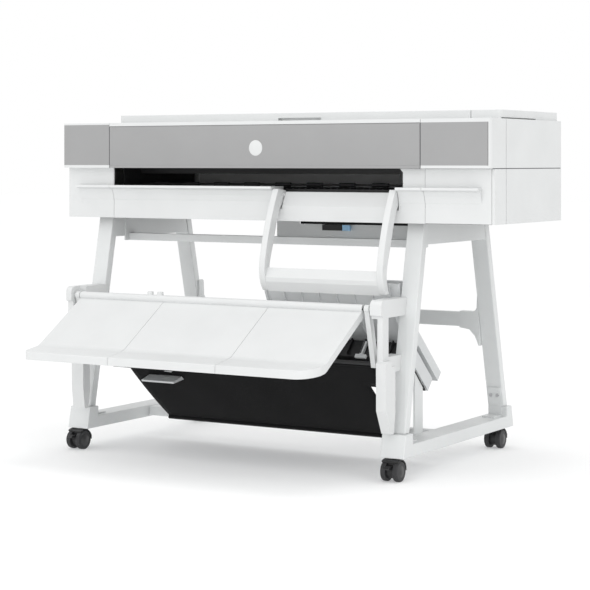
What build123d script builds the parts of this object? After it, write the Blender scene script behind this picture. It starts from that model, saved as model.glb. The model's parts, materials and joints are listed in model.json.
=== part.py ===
"""Large format plotter: a wide roll-fed inkjet printer on a wheeled stand.

Units are millimetres, +Z is up, +X runs to the right of somebody facing the
front, and +Y runs from the front to the back.  Every shape is drawn from a
datum under the middle of the printer's front face, and save() moves it to
the row's origin on the floor, the middle of the whole object's base.
"""
from build123d import *
import math
import os

# ------------------------------------------------------------------ driving dimensions
BODY_W = 1398.0            # printer body, end to end
BODY_D = 479.0             # printer body, front to back
BODY_BOTTOM = 682.0        # underside of the body above the datum
WAIST = 829.0              # joint between the lower body and the upper body
BODY_TOP = 961.0           # top of the end covers
LID_TOP = 985.0            # top of the roll lid
WALL = 4.0                 # wall of the plastic covers
STEP_BACK = 24.0           # how far the lower body stands behind the upper one
BAY_LEFT = -531.0          # left end of the printing bay
BAY_RIGHT = 494.0          # right end of the printing bay
SEAM = 1.2                 # visible seam between neighbouring panels
RUN = 0.05                 # radial clearance of a running fit
DATUM_SHIFT = (-123.5, -8.0)   # from the datum to the row's origin, Y and Z
FLOOR = 8.0                # height of the floor in the datum's frame

STAND_X = -67.5            # middle of the stand
FRAME_PITCH = 1037.0       # between the middles of the two side frames
FRAME_W = 50.0             # width of each leg
FOOT_W = 72.0              # width of each foot
LEG_T = 26.0               # thickness of each leg, front to back
BEAM_BOTTOM = 624.0        # underside of the stand's top beams
FOOT_BOTTOM = 68.0
FOOT_BEAM_TOP = 102.0
FOOT_TOP = 130.0
FRONT_LEG_TOP = 60.0       # front face of the front leg at the body
FRONT_LEG_FOOT = -52.0     # front face of the front leg at the foot
REAR_LEG_TOP = 468.0       # rear face of the rear leg at the body
REAR_LEG_FOOT = 599.0      # rear face of the rear leg at the foot
FOOT_FRONT = -80.0
FOOT_REAR = 620.0
FOOT_SLANT = 13.0          # how far the foot's end faces lean
PLATE_TOP = 186.0          # top of the bent plates that tie the legs to the feet
CROSSBAR_Y = (226.0, 252.0)
TUBE_WALL = 2.5            # wall of the stand's tubes

WHEEL_R = 27.0
WHEEL_W = 15.0
WHEEL_Z = FLOOR + WHEEL_R  # wheel axle
CASTER_W = 50.0
CASTER_TRAIL = 24.0        # wheel axle ahead of the swivel stem
CASTER_STEMS = {"front": -50.0, "rear": 592.0}
CASTER_TURN = {"front_left": -4.0, "front_right": 1.0, "rear_left": -4.0, "rear_right": 1.0}

HINGE_Y = -104.0           # hinge of the output tray
HINGE_Z = 460.0
HINGE_ROD_R = 6.0
HINGE_ROD_X = (-582.0, 436.0)
RAIL_R = 11.0              # rolled rail along the tray's top edge
TRAY_LEFT = -551.0
TRAY_RIGHT = 380.0
TRAY_SEAMS = (-257.0, 90.0)
TRAY_FRONT = -373.0
TRAY_REAR_TOP = 457.0      # top of the shelf at the hinge
TRAY_BEND = (-302.0, 332.0)      # where the shelf turns up into its front lip, Y and Z
TRAY_LIP = (321.0, 299.0)        # top and bottom of the front lip

CATCH_TOP = (-64.0, 312.0)      # upper rod of the catch sheet, Y and Z
CATCH_LOW = (214.0, 74.0)       # lower rod of the catch sheet, Y and Z
CATCH_X = (-460.0, 340.0)
CATCH_T = 3.0
CATCH_ROD_R = 5.0

RAMP_CENTRE = (345.3, 607.2)    # centre of the stacker ramp's curve, Y and Z
RAMP_R = 306.0                  # radius of the curve's rear face
RAMP_ANGLES = (74.8, 42.6)      # steepness of the ramp at its top and in its straight part
RAMP_STRAIGHT = 185.0           # length of the straight part
RAMP_T = 30.0                   # depth of the upper channel
RAMP_LOWER = (45.0, 86.0)       # depths of the lower channel's two skins
RAMP_X = (-13.0, 420.0)

ARM_X = (30.0, 397.0)           # left faces of the two deflector arms
ARM_T = 19.0
ARM_PIVOT = (36.0, 756.0)       # pivot of the deflector arms, Y and Z
PIVOT_R = 5.0

LID_LEFT = -555.0
LID_RIGHT = 600.0
LID_FRONT = 86.0
LID_REAR = 478.0
LID_GAP = 0.5                   # between the lid and the covers below it
POD_RIGHT = 690.0

FEED_Y = 166.0                  # feed roller axis
FEED_Z = 762.0
FEED_R = 13.0
PINCH_R = 6.0
PINCH_Z = FEED_Z + FEED_R + PINCH_R + 0.4
SPINDLE_Y = 322.0               # roll spindle axis
SPINDLE_Z = 862.0
SPINDLE_R = 12.0
PLATE_T = 3.0                   # sheet steel of the bay's end plates

LIP_TOP = 778.0                 # finger lip across the lower body
LIP_UNDER = 770.0
LIP_LEFT = -655.0               # ends of the finger lip
LIP_RIGHT = 662.0
BAND_Z = (724.0, 736.0)         # shallow band under the finger lip
BAND_DEPTH = 0.8
RECESS_TOP = 763.0              # top of the cover between the deflector arms
DOOR_X = (BAY_RIGHT + 3.0, 690.0)
PANEL_X = (612.0, 680.0)        # touch panel in the pod's top
PANEL_Y = (112.0, 232.0)
BUTTON = (646.0, 262.0)         # power button, X and Y
BUTTON_R = 8.0
INLET_X = -620.0
INLET_Z = 735.0


# ------------------------------------------------------------------ helpers
def block(x0, x1, y0, y1, z0, z1):
    """A box from its lowest to its highest corner."""
    size = Box(x1 - x0, y1 - y0, z1 - z0)
    return Pos((x0 + x1) / 2, (y0 + y1) / 2, (z0 + z1) / 2) * size


def along_x(outline, x0, x1):
    """A closed outline of (y, z) points, drawn out from x0 to x1."""
    wire = Polyline(*outline, close=True)
    return extrude(Plane.YZ.offset(x0) * make_face(wire), x1 - x0)


def rod_x(y, z, radius, x0, x1):
    """A round bar along X."""
    bar = Cylinder(radius, x1 - x0, rotation=(0, 90, 0))
    return Pos((x0 + x1) / 2, y, z) * bar


def rod_z(x, y, radius, z0, z1):
    """A round bar along Z."""
    return Pos(x, y, (z0 + z1) / 2) * Cylinder(radius, z1 - z0)


def plan_corners(x0, x1, y0, y1, radii):
    """A tall block whose corners in plan are rounded: front left, front right, rear right, rear left."""
    tall = block(x0, x1, y0, y1, 0, LID_TOP + 100)
    places = ((x0, y0), (x1, y0), (x1, y1), (x0, y1))
    for (x, y), radius in zip(places, radii):
        edge = tall.edges().filter_by(Axis.Z).sort_by_distance((x, y, 500))[0]
        tall = fillet(edge, radius)
    return tall


def save(name, *solids):
    """Write one node, its solids moved to the row's origin."""
    placed = [Pos(0, *DATUM_SHIFT) * solid for solid in solids]
    shape = placed[0] if len(placed) == 1 else Compound(children=placed)
    export_step(shape, f"parts/{name}.step")


def frame_x(side):
    """The left face of the side frame on a side, -1 left or 1 right."""
    return STAND_X + side * FRAME_PITCH / 2 - FRAME_W / 2


def front_face(z):
    """Y of the front leg's front face at a height."""
    rise = (z - FOOT_TOP) / (BODY_BOTTOM - FOOT_TOP)
    return FRONT_LEG_FOOT + rise * (FRONT_LEG_TOP - FRONT_LEG_FOOT)


def rear_face(z):
    """Y of the rear leg's rear face at a height."""
    rise = (z - FOOT_TOP) / (BODY_BOTTOM - FOOT_TOP)
    return REAR_LEG_FOOT + rise * (REAR_LEG_TOP - REAR_LEG_FOOT)


# ------------------------------------------------------------------ stand
def leg(side, face, thickness):
    """A slanted leg of rectangular section."""
    outline = [
        (face(FOOT_TOP), FOOT_TOP),
        (face(BODY_BOTTOM), BODY_BOTTOM),
        (face(BODY_BOTTOM) + thickness, BODY_BOTTOM),
        (face(FOOT_TOP) + thickness, FOOT_TOP),
    ]
    x0 = frame_x(side)
    lean = [(y + TUBE_WALL * (1 if y < face(z) + thickness / 2 else -1), z) for y, z in outline]
    return along_x(outline, x0, x0 + FRAME_W) - along_x(lean, x0 + TUBE_WALL, x0 + FRAME_W - TUBE_WALL)


def top_beam(side):
    """The beam under the body between the front and the rear leg."""
    outline = [
        (front_face(BEAM_BOTTOM) + LEG_T, BEAM_BOTTOM),
        (front_face(BODY_BOTTOM) + LEG_T, BODY_BOTTOM),
        (rear_face(BODY_BOTTOM) - LEG_T, BODY_BOTTOM),
        (rear_face(BEAM_BOTTOM) - LEG_T, BEAM_BOTTOM),
    ]
    x0 = frame_x(side) + 2
    x1 = x0 + FRAME_W - 4
    bore = block(x0 + TUBE_WALL, x1 - TUBE_WALL, 0, 700, BEAM_BOTTOM + TUBE_WALL, BODY_BOTTOM - TUBE_WALL)
    return along_x(outline, x0, x1) - bore


def foot(side):
    """A foot beam with a raised block under each leg, its ends slanted."""
    front_step = front_face(FOOT_TOP) + LEG_T
    rear_step = rear_face(FOOT_TOP) - LEG_T
    outline = [
        (FOOT_FRONT, FOOT_BOTTOM),
        (FOOT_FRONT + FOOT_SLANT, FOOT_TOP),
        (front_step, FOOT_TOP),
        (front_step, FOOT_BEAM_TOP),
        (rear_step, FOOT_BEAM_TOP),
        (rear_step, FOOT_TOP),
        (FOOT_REAR - FOOT_SLANT, FOOT_TOP),
        (FOOT_REAR, FOOT_BOTTOM),
    ]
    spare = (FOOT_W - FRAME_W) / 2
    x0, x1 = frame_x(side) - spare, frame_x(side) + FRAME_W + spare
    beam = along_x(outline, x0, x1)
    inner = (x0 - 1, frame_x(side)) if side > 0 else (frame_x(side) + FRAME_W, x1 + 1)
    beam -= block(*inner, rear_step - 1, FOOT_REAR + 1, FOOT_BEAM_TOP, FOOT_TOP + 1)
    bore = block(x0 + TUBE_WALL, x1 - TUBE_WALL, FOOT_FRONT + 14, FOOT_REAR - 14,
                 FOOT_BOTTOM + TUBE_WALL, FOOT_BEAM_TOP - TUBE_WALL)
    drain = rod_z((x0 + x1) / 2, (FOOT_FRONT + FOOT_REAR) / 2, 4, FOOT_BOTTOM - 1, FOOT_BOTTOM + 6)
    return beam - bore - drain


def upper_crossbeam():
    """The beam between the side frames under the body, with its end brackets."""
    left = frame_x(-1) + FRAME_W - 2
    right = frame_x(1) + 2
    beam = block(left + 4, right - 4, 138, 166, 611, 632)
    beam -= block(left, right, 138 + TUBE_WALL, 166 - TUBE_WALL, 611 + TUBE_WALL, 632 - TUBE_WALL)
    outline = [(118, 611), (118, 678), (196, 678), (196, 646), (178, 632), (178, 611)]
    ends = [along_x(outline, left, left + 4), along_x(outline, right - 4, right)]
    return [beam] + ends


def rear_beam_y():
    """The rear face of the rear crossbeam."""
    return rear_face(386) - 6


def rear_crossbeam():
    """The deep beam between the rear legs."""
    y1 = rear_beam_y()
    reach = 54
    x0, x1 = frame_x(-1) + FRAME_W + reach, frame_x(1) - reach
    beam = block(x0, x1, y1 - 22, y1, 365, 407)
    return beam - block(x0 - 1, x1 + 1, y1 - 22 + TUBE_WALL, y1 - TUBE_WALL, 365 + TUBE_WALL, 407 - TUBE_WALL)


def rear_gussets():
    """The flared brackets that carry the rear crossbeam on the rear legs."""
    solids = []
    y1 = rear_beam_y() + 2
    outline = [(0, 310), (0, 470), (5, 466), (7, 420), (14, 410), (62, 410), (62, 362), (30, 357), (12, 338)]
    for side in (-1, 1):
        face = frame_x(side) + (FRAME_W if side < 0 else 0)
        points = [(face - side * u, z) for u, z in outline]
        web = extrude(Plane.XZ.offset(-y1) * make_face(Polyline(*points, close=True)), 26)
        x0, x1 = sorted((face - side * 54, face - side * 63))
        solids.append(web - block(x0, x1, y1 - 24, y1 - 2, 365, 407))
    return solids


def lower_crossbar():
    """The bar between the two feet."""
    reach = (FRAME_PITCH - FOOT_W) / 2
    x0, x1 = STAND_X - reach, STAND_X + reach
    bore = block(x0 - 1, x1 + 1, CROSSBAR_Y[0] + TUBE_WALL, CROSSBAR_Y[1] - TUBE_WALL, 72 + TUBE_WALL, 100 - TUBE_WALL)
    return block(x0, x1, CROSSBAR_Y[0], CROSSBAR_Y[1], 72, 100) - bore


def foot_plates():
    """The bent plates that tie each leg to its foot, two screws in each."""
    solids = []
    for side in (-1, 1):
        x0 = frame_x(side) + 6
        x1 = frame_x(side) + FRAME_W - 6
        for face, thick, way in ((rear_face, -LEG_T, -1), (front_face, LEG_T, 1)):
            low = face(FOOT_TOP) + thick
            high = face(PLATE_TOP) + thick
            outline = [
                (low + way * 56, FOOT_BEAM_TOP),
                (low + way * 56, FOOT_BEAM_TOP + 4),
                (low + way * 4, FOOT_BEAM_TOP + 4),
                (low + way * 4, FOOT_TOP),
                (high + way * 4, PLATE_TOP),
                (high, PLATE_TOP),
                (low, FOOT_TOP),
                (low, FOOT_BEAM_TOP),
            ]
            solids.append(along_x(outline, x0, x1))
    return solids


def stand_screws():
    """Pan-head screws: two on each foot plate."""
    solids = []
    z = PLATE_TOP - 22
    for side in (-1, 1):
        for face, thick, way in ((rear_face, -LEG_T, -1), (front_face, LEG_T, 1)):
            lean = (face(PLATE_TOP) - face(FOOT_TOP)) / (PLATE_TOP - FOOT_TOP)
            tilt = math.degrees(math.atan(lean))
            for offset in (15, FRAME_W - 15):
                head = Cylinder(5, 3, rotation=(90, 0, 0)) - Pos(0, way * 1.5, 0) * Box(1.4, 1.6, 7)
                spot = Pos(frame_x(side) + offset, face(z) + thick, z)
                solids.append(spot * Rot(-tilt, 0, 0) * Pos(0, way * 5.6, 0) * head)
    return solids


# ------------------------------------------------------------------ casters
def caster_frame(end, side):
    """The place and turn of one caster's swivel stem."""
    number = -1 if side == "left" else 1
    x = frame_x(number) + FRAME_W / 2
    return Pos(x, CASTER_STEMS[end], 0) * Rot(0, 0, CASTER_TURN[f"{end}_{side}"])


def caster_body():
    """The caster's web, hood and swivel stem, drawn about the stem."""
    gap = CASTER_W / 2 - WHEEL_W - 0.5
    web = rod_x(-CASTER_TRAIL, WHEEL_Z, 19, -gap, gap)
    neck = block(-gap, gap, -CASTER_TRAIL - 10, 8, WHEEL_Z, 64)
    ring = rod_x(-CASTER_TRAIL, WHEEL_Z, WHEEL_R + 4.5, -CASTER_W / 2, CASTER_W / 2)
    ring -= rod_x(-CASTER_TRAIL, WHEEL_Z, WHEEL_R + 1.5, -CASTER_W, CASTER_W)
    hood = ring & block(-CASTER_W, CASTER_W, -CASTER_TRAIL - 16, 6, WHEEL_Z, FOOT_BOTTOM)
    stem = rod_z(0, 0, 8, 60, FOOT_BOTTOM)
    bore = rod_x(-CASTER_TRAIL, WHEEL_Z, 4 + RUN, -CASTER_W, CASTER_W)
    return web + neck + hood + stem - bore


def caster_wheels():
    """The twin wheels and the axle that joins them, drawn about the stem."""
    wheels = []
    for way in (-1, 1):
        outer = way * CASTER_W / 2
        inner = way * (CASTER_W / 2 - WHEEL_W)
        disc = rod_x(-CASTER_TRAIL, WHEEL_Z, WHEEL_R, min(outer, inner), max(outer, inner))
        rims = disc.edges().filter_by(GeomType.CIRCLE)
        wheels.append(fillet(rims, 3.0))
    axle = rod_x(-CASTER_TRAIL, WHEEL_Z, 4, -CASTER_W / 2 + 6, CASTER_W / 2 - 6)
    return wheels[0] + wheels[1] + axle


def brake_lever():
    """The pedal at the front of a front caster, hinged in front of the caster's web."""
    gap = CASTER_W / 2 - WHEEL_W - 0.8
    y = -CASTER_TRAIL - WHEEL_R
    outline = [(-41, 47), (-41, 51), (y - 8, 51), (y - 14, 46), (y - 11, 43), (y - 6, 47)]
    return along_x(outline, -gap, gap)


# ------------------------------------------------------------------ posts and tray
def post_face(back):
    """The F-shaped side view of a front post, its middle as deep as asked."""
    outline = [
        (-126, 443), (-126, 485),
        (front_face(485), 485), (front_face(438), 438),
        (-86, 438), (-86, 335),
        (front_face(335), 335), (front_face(293), 293),
        (back, 293), (back, 280), (-117, 280), (-117, 443),
    ]
    face = make_face(Polyline(*outline, close=True))
    nose = face.vertices().sort_by_distance((-126, 485, 0))[0:1]
    face = fillet(nose, 15)
    chin = face.vertices().sort_by_distance((-126, 443, 0))[0:1]
    return fillet(chin, 5)


def post_foot(back, x0, x1):
    """The thicker lower end of a front post, cut to a slant at its foot."""
    return along_x([
        (back, 310), (back, 184), (back - 8, 134), (back - 24, 134),
        (-123, 196), (-124, 319), (-117, 326), (-90, 326), (-90, 310),
    ], x0, x1)


def front_posts():
    """The two posts in front of the front legs, which carry the tray's hinge rod."""
    hole = rod_x(HINGE_Y, HINGE_Z, HINGE_ROD_R + RUN, HINGE_ROD_X[0], HINGE_ROD_X[1] + RUN)
    right = extrude(Plane.YZ.offset(411) * post_face(-84), 34)
    right -= block(400, 430, -130, -86.5, 270, 436)
    right += post_foot(-70, 428, 457)
    left = extrude(Plane.YZ.offset(-592) * post_face(-92), 60)
    left -= block(-573, -530, -130, -85, 270, 500)
    left -= block(-573, -530, -91.9, 40, 270, 345)
    left -= block(-552, -530, -85.5, 40, 400, 500)
    left += post_foot(-92, -574, -532)
    return [left - hole, right - hole]


def tray_profile(x0, x1):
    """One stretch of the tray: a sloping shelf that bends up into a flat front lip."""
    top, bottom = TRAY_LIP
    depth = top - bottom
    upper = [(HINGE_Y, TRAY_REAR_TOP), TRAY_BEND, (TRAY_FRONT, top)]
    lower = [(TRAY_FRONT, bottom), (TRAY_BEND[0], TRAY_BEND[1] - depth), (HINGE_Y, TRAY_REAR_TOP - depth)]
    face = make_face(Polyline(*upper, *lower, close=True))
    bends = face.vertices().sort_by_distance((TRAY_BEND[0], TRAY_BEND[1] - depth / 2, 0))[0:2]
    face = fillet(bends, 45)
    nose = face.vertices().sort_by_distance((TRAY_FRONT, top, 0))[0:1]
    face = fillet(nose, 4)
    return extrude(Plane.YZ.offset(x0) * face, x1 - x0)


def tray_panels():
    """Three shallow panels side by side, open below, with a large round front corner at the right."""
    plan = plan_corners(TRAY_LEFT, TRAY_RIGHT, TRAY_FRONT, 100, (24, 58, 1, 1))
    inset = plan_corners(TRAY_LEFT + 3, TRAY_RIGHT - 3, TRAY_FRONT + 3, HINGE_Y - RAIL_R - 4, (21, 55, 1, 1))
    rail = rod_x(HINGE_Y, HINGE_Z, RAIL_R, TRAY_LEFT - 5, TRAY_RIGHT + 5)
    stops = (TRAY_LEFT,) + TRAY_SEAMS + (TRAY_RIGHT,)
    panels = []
    for left, right in zip(stops, stops[1:]):
        panel = tray_profile(left + SEAM / 2, right - SEAM / 2) & plan
        hollow = Pos(0, 0, -3) * tray_profile(left + 3, right - 3) & inset
        panels.append(panel - hollow - rail)
    return panels


def tray_hinge_rail():
    """The rolled rail along the tray's top edge, with two thumb knobs."""
    rail = rod_x(HINGE_Y, HINGE_Z, RAIL_R, TRAY_LEFT, TRAY_RIGHT)
    knobs = [fillet(rod_z(x, HINGE_Y + 2, 9, HINGE_Z, HINGE_Z + 20).edges().sort_by(Axis.Z)[-1], 3) for x in (-309, -275)]
    bore = rod_x(HINGE_Y, HINGE_Z, HINGE_ROD_R + RUN, -700, 700)
    return rail + knobs[0] + knobs[1] - bore


# ------------------------------------------------------------------ catch sheet
def catch_line(y):
    """Height of the catch sheet at a depth."""
    slope = (CATCH_LOW[1] - CATCH_TOP[1]) / (CATCH_LOW[0] - CATCH_TOP[0])
    return CATCH_TOP[1] + slope * (y - CATCH_TOP[0])


def sheet_strip(y0, y1, x0, x1):
    """A strip of the catch sheet between two depths."""
    half = CATCH_T / 2
    outline = [
        (y0 + half, catch_line(y0) + half),
        (y1 + half, catch_line(y1) + half),
        (y1 - half, catch_line(y1) - half),
        (y0 - half, catch_line(y0) - half),
    ]
    return along_x(outline, x0, x1)


def catch_sheet():
    """The black cloth that catches prints, with an ear at each upper corner."""
    y_top = CATCH_TOP[0] + 4
    y_ear = 6
    body = sheet_strip(y_top, CATCH_LOW[0] - 4, *CATCH_X)
    ears = sheet_strip(y_top, y_ear, CATCH_X[0] - 62, CATCH_X[1] + 42)
    return body + ears


def catch_frame():
    """The hinge rod, the two stays that hang from it, and the rods that hold the sheet."""
    stays = []
    for x0 in (-568, 386):
        outline = [
            (HINGE_Y - 9, HINGE_Z), (HINGE_Y + 9, HINGE_Z + 2),
            (CATCH_TOP[0] + 9, CATCH_TOP[1] - 8), (CATCH_TOP[0] - 9, CATCH_TOP[1] - 10),
        ]
        eye = rod_x(HINGE_Y, HINGE_Z, 11, x0, x0 + 14)
        stays.append(along_x(outline, x0, x0 + 14) + eye)
    rod = rod_x(HINGE_Y, HINGE_Z, HINGE_ROD_R, *HINGE_ROD_X)
    top = rod_x(CATCH_TOP[0], CATCH_TOP[1], CATCH_ROD_R, -568, 400)
    low = rod_x(CATCH_LOW[0], CATCH_LOW[1], CATCH_ROD_R, CATCH_X[0] - 6, CATCH_X[1] + 6)
    clips = [block(x, x + 10, CATCH_LOW[0], CROSSBAR_Y[0], CATCH_LOW[1] - 4, CATCH_LOW[1] + 4)
             for x in (CATCH_X[0] - 6, -65, CATCH_X[1] - 4)]
    upper = stays[0] + stays[1] + rod + top
    lower = low + clips[0] + clips[1] + clips[2]
    return [upper, lower]


def paper_guide():
    """The grey flap fixed under the sheet, which stands out towards the front."""
    near, far = 2.8, 7.0
    outline = [
        (10, catch_line(10) - near), (64, catch_line(64) - near), (64, catch_line(64) - far),
        (38, catch_line(38) - far), (-14, 210), (-16, 215), (27, catch_line(27) - far), (10, catch_line(10) - far),
    ]
    return along_x(outline, -403, -290)


# ------------------------------------------------------------------ stacker ramp
def ramp_point(depth, along):
    """A point at a depth in front of the ramp's rear face and a length from its top."""
    steep, shallow = [math.radians(angle) for angle in RAMP_ANGLES]
    curve = RAMP_R * (steep - shallow)
    angle = steep - min(along, curve) / RAMP_R
    rest = max(along - curve, 0)
    y = RAMP_CENTRE[0] - (RAMP_R + depth) * math.sin(angle) + rest * math.cos(angle)
    z = RAMP_CENTRE[1] - (RAMP_R + depth) * math.cos(angle) - rest * math.sin(angle)
    return (y, z)


def ramp_slab(near, far, start, end, x0, x1):
    """A slab that follows the ramp between two depths and two lengths from its top."""
    bend = RAMP_R * math.radians(RAMP_ANGLES[0] - RAMP_ANGLES[1])
    edges = [Line(ramp_point(near, start), ramp_point(far, start)), Line(ramp_point(near, end), ramp_point(far, end))]
    for depth in (near, far):
        last = min(end, bend)
        if start < bend:
            middle = ramp_point(depth, (start + last) / 2)
            edges.append(ThreePointArc(ramp_point(depth, start), middle, ramp_point(depth, last)))
        if end > bend:
            edges.append(Line(ramp_point(depth, max(start, bend)), ramp_point(depth, end)))
    face = make_face(Curve() + edges)
    return extrude(Plane.YZ.offset(x0) * face, x1 - x0)


def stacker_ramp():
    """The sloping shell behind the deflector: an upper channel ribbed in front, and a lower one."""
    length = RAMP_R * math.radians(RAMP_ANGLES[0] - RAMP_ANGLES[1]) + RAMP_STRAIGHT
    x0, x1 = RAMP_X
    middle = length / 2
    shell = ramp_slab(0, RAMP_T, 0, length, x0, x1)
    shell -= ramp_slab(3, RAMP_T - 3, -1, middle - 3, x0 + 3, x1 - 3)
    shell -= ramp_slab(3, RAMP_T - 3, middle + 3, length + 1, x0 + 3, x1 - 3)
    count = 7
    pitch = (x1 - x0 - 40) / count
    for number in range(count + 1):
        x = x0 + 8 + number * pitch
        shell += ramp_slab(RAMP_T - 0.5, RAMP_T + 6, 0, middle, x, x + 4)
    near, far = RAMP_LOWER
    shell += ramp_slab(near, far, middle + 10, length - RAMP_T, x0, x1)
    shell -= ramp_slab(near + 3, far - 3, middle + 15, length, x0 + 3, x1 - 3)
    return shell + ramp_slab(RAMP_T - 0.5, near + 0.5, middle + 10, middle + 15, x0, x1)


def ramp_supports():
    """The plates that carry the ramp: one on the right foot, one on the lower crossbar."""
    foot_side = STAND_X + (FRAME_PITCH - FOOT_W) / 2
    right = block(foot_side - 5, foot_side, 123, 171, 74, 280)
    left = block(RAMP_X[0] + 1, RAMP_X[0] + 6, 229, 249, 100, 300)
    above = ramp_slab(0, RAMP_LOWER[1], 0, 500, RAMP_X[0] - 1, foot_side + 1)
    return [(right - above).solids().sort_by(Axis.Z)[0], (left - above).solids().sort_by(Axis.Z)[0]]


# ------------------------------------------------------------------ deflector
def deflector_arm(x0):
    """A curved arm from its pivot in the lower cover down to the deflector plate."""
    front = Spline((8, 772), (-30, 690), (-58, 600), (-66, 550), (-45, 493))
    back = Spline((-26, 495), (-40, 548), (-20, 617), (4, 690), (17, 718))
    head = Polyline((17, 718), (50, 753), (50, 767), (8, 772))
    edges = [front, Line((-45, 493), (-26, 495)), back, head]
    face = make_face(Curve() + edges)
    arm = extrude(Plane.YZ.offset(x0) * face, ARM_T)
    return arm - rod_x(ARM_PIVOT[0], ARM_PIVOT[1], PIVOT_R + RUN, x0 - 1, x0 + ARM_T + 1)


def deflector_plate():
    """The bent plate between the two arms that turns prints down."""
    x0 = ARM_X[0] + ARM_T
    x1 = ARM_X[1]
    outline = [(-48, 556), (-61, 530), (-59, 518), (-44, 491), (-39, 494), (-53, 519), (-55, 529), (-43, 553)]
    return along_x(outline, x0, x1)


# ------------------------------------------------------------------ printer body
def body_outline(inset):
    """Side view of the body, drawn in by a wall: the upper half overhangs the lower one."""
    return [
        (inset, WAIST + inset), (inset, BODY_TOP - inset),
        (BODY_D - inset, BODY_TOP - inset), (BODY_D - inset, BODY_BOTTOM - 1 + (inset == 0)),
        (STEP_BACK + inset, BODY_BOTTOM - 1 + (inset == 0)), (STEP_BACK + inset, WAIST + inset),
    ]


def lip_outline():
    """The finger lip with the scooped hollow under it."""
    return [
        (STEP_BACK, LIP_TOP), (0, LIP_TOP), (-1, LIP_UNDER + 2), (2, LIP_UNDER),
        (14, LIP_UNDER - 3), (20, 752), (STEP_BACK, 736),
    ]


def chassis():
    """The base pan and the two end plates that carry the rail, rollers and spindle."""
    half = BODY_W / 2 - WALL
    pan = block(-half, half, STEP_BACK + WALL + 2, BODY_D - WALL, BODY_BOTTOM, BODY_BOTTOM + PLATE_T)
    holes = rod_x(FEED_Y, FEED_Z, 6 + RUN, -600, 600)
    holes += rod_x(FEED_Y, PINCH_Z, 3 + RUN, -600, 600)
    holes += rod_x(SPINDLE_Y, SPINDLE_Z, SPINDLE_R + RUN, -600, 600)
    plates = []
    for x in (BAY_LEFT, BAY_RIGHT - PLATE_T):
        plate = block(x, x + PLATE_T, 70, 440, BODY_BOTTOM + PLATE_T, 940)
        plates.append(plate - holes)
    return pan + plates[0] + plates[1]


def left_cover():
    """The shell of the left end, with its share of the finger lip."""
    x0 = -BODY_W / 2
    outer = along_x(body_outline(0), x0, BAY_LEFT - SEAM)
    shell = outer - along_x(body_outline(WALL), x0 + WALL, BAY_LEFT)
    shell -= block(x0 - 1, BAY_LEFT, -1, 5, WAIST + 8, BODY_TOP - 5)
    shell += block(x0 + WALL, BAY_LEFT - SEAM, 5, 9, WAIST + 8, BODY_TOP - WALL)
    shell += block(x0, x0 + WALL, 5, 9, WAIST + 8, BODY_TOP - WALL)
    shell -= block(LIP_LEFT + 4, BAY_LEFT, STEP_BACK - 1, STEP_BACK + BAND_DEPTH, *BAND_Z)
    shell += along_x(lip_outline(), LIP_LEFT, BAY_LEFT - SEAM)
    shell -= inlet_hole(0.0)
    return shell


def right_cover():
    """The shell of the right end, rounded at its corners, open at the front for the ink door."""
    x0 = BAY_RIGHT + SEAM
    x1 = BODY_W / 2
    plan = plan_corners(x0 - 50, x1, 0, BODY_D, (1, 12, 12, 1))
    outer = along_x(body_outline(0), x0, x1) & plan
    shell = outer - along_x(body_outline(WALL), BAY_RIGHT, x1 - WALL)
    shell -= block(BAY_RIGHT, DOOR_X[1] + SEAM, -1, 30, BODY_BOTTOM - 1, WAIST)
    shell -= block(BAY_RIGHT, DOOR_X[1] + SEAM, -1, 5, WAIST + 8, BODY_TOP - 10)
    shell += block(x0, x1 - WALL, 5, 9, WAIST + 8, BODY_TOP - WALL)
    groove = block(x1 - 1.2, x1 + 1, -1, BODY_D + 1, WAIST - 1.2, WAIST + 1.2)
    seam = block(x1 - 1.2, x1 + 1, 95, 97, BODY_BOTTOM - 1, BODY_TOP + 1)
    return shell - groove - seam


def ink_door():
    """The hinged door over the ink cartridges, pulled by its lip."""
    x0, x1 = DOOR_X
    leaf = block(x0, x1, STEP_BACK, STEP_BACK + 4, BODY_BOTTOM + 1, WAIST - 1)
    leaf -= block(x0 - 1, LIP_RIGHT - 6, STEP_BACK - 1, STEP_BACK + BAND_DEPTH, *BAND_Z)
    lip = along_x(lip_outline(), x0, LIP_RIGHT)
    ears = [block(x, x + 6, STEP_BACK + 4, STEP_BACK + 10, BODY_BOTTOM + 6, BODY_BOTTOM + 60)
            for x in (x0 + 10, x1 - 16)]
    return leaf + lip + ears[0] + ears[1]


def front_panel(x0, x1, top):
    """A grey inlay panel of the upper front."""
    return block(x0, x1, 0, 5, WAIST + 8, top)


def centre_door():
    """The wide grey door over the print carriage, hinged along its top front edge."""
    x0 = BAY_LEFT + SEAM
    x1 = BAY_RIGHT - SEAM
    door = block(x0, x1, 0, 20, WAIST, BODY_TOP - 11)
    hollow = block(x0 + 3, x1 - 3, 3, 21, WAIST + 3, BODY_TOP - 17)
    return door - hollow


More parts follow.
